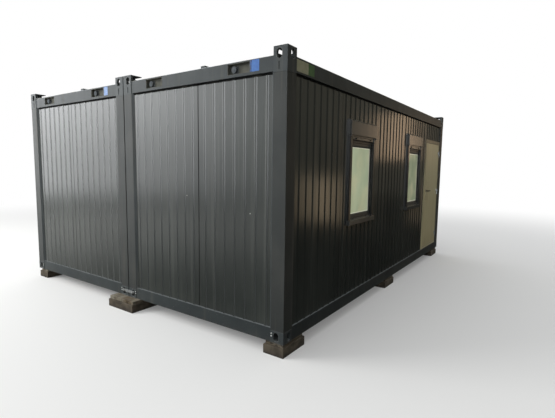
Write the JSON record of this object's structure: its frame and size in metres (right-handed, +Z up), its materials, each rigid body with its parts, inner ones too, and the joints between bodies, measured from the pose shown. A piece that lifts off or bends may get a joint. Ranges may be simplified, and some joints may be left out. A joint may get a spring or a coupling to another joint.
{
  "type": "portable site cabin",
  "caption": "Hollow site cabin of joined steel frame modules with ribbed wall panels, shuttered windows, an outward opening door, corner castings and block supports.",
  "frame": {"origin": "on the ground, at the middle of the centre support block's underside", "axes": "+X along the cabin's length, towards the end nearer the door; the front long side with windows and door faces -Y; +Z up"},
  "size_m": [6.318, 4.9333, 2.94],
  "materials": {
    "concrete": "rough cast",
    "timber": "sawn, weathered",
    "frame_steel": "satin paint, dusty",
    "panel_steel": "satin paint, dusty",
    "bare_steel": "galvanised",
    "floor_board": "vinyl covered board",
    "ceiling_white": "matt",
    "roof_steel": "galvanised, dull",
    "seal_rubber": "matt",
    "window_plastic": "fine grain",
    "window_glass": "clear",
    "shutter_metal": "satin",
    "door_paint": "satin cream",
    "handle_plastic": "satin black",
    "hinge_steel": "zinc plated",
    "inlet_plastic": "moulded",
    "socket_plastic": "moulded"
  },
  "bodies": {
    "cabin": {"support_blocks": "concrete", "timber_packers": "timber", "near_bottom_castings": "frame_steel", "far_bottom_castings": "frame_steel", "near_top_castings": "frame_steel", "far_top_castings": "frame_steel", "near_posts": "frame_steel", "far_posts": "frame_steel", "near_bottom_rails": "frame_steel", "far_bottom_rails": "frame_steel", "near_top_rails": "frame_steel", "far_top_rails": "frame_steel", "inlet_boxes": "inlet_plastic", "inlet_sockets": "socket_plastic", "floor_joists": "bare_steel", "underfloor_sheets": "bare_steel", "near_floor": "floor_board", "far_floor": "floor_board", "ceiling_panels": "ceiling_white", "near_roof_sheet": "roof_steel", "far_roof_sheet": "roof_steel", "roof_end_caps": "frame_steel", "front_plain_panels": "panel_steel", "window_panels": "panel_steel", "over_door_panel": "panel_steel", "door_side_panel": "panel_steel", "near_left_end_wall": "panel_steel", "far_left_end_wall": "panel_steel", "near_right_end_wall": "panel_steel", "far_right_end_wall": "panel_steel", "back_wall": "panel_steel", "head_seals": "seal_rubber", "window_frames": "window_plastic", "window_sashes": "window_plastic", "window_panes": "window_glass", "shutter_guides": "shutter_metal", "shutter_boxes": "shutter_metal", "shutter_end_slats": "shutter_metal", "window_sills": "shutter_metal", "door_frame": "door_paint", "frame_hinges": "hinge_steel", "module_clamps": "bare_steel", "joint_seals": "seal_rubber", "roof_joint_cover": "roof_steel", "inner_joint_trims": "ceiling_white"},
    "door": {"door_leaf": "door_paint", "door_plates": "handle_plastic", "leaf_hinges": "hinge_steel"},
    "handle": {"door_handle": "handle_plastic"}
  },
  "joints": [
    {"name": "door_swing", "type": "hinge", "parent": "cabin", "child": "door", "pos_m": [2.8115, -2.437, 1.37], "axis": [0, 0, 1], "range_deg": [0, 110]},
    {"name": "handle_turn", "type": "hinge", "parent": "door", "child": "handle", "pos_m": [1.929, -2.426, 1.424], "axis": [0, 1, 0], "range_deg": [0, 40], "stiffness_Nm_per_rad": 2.5, "springref_deg": -28.65}
  ]
}
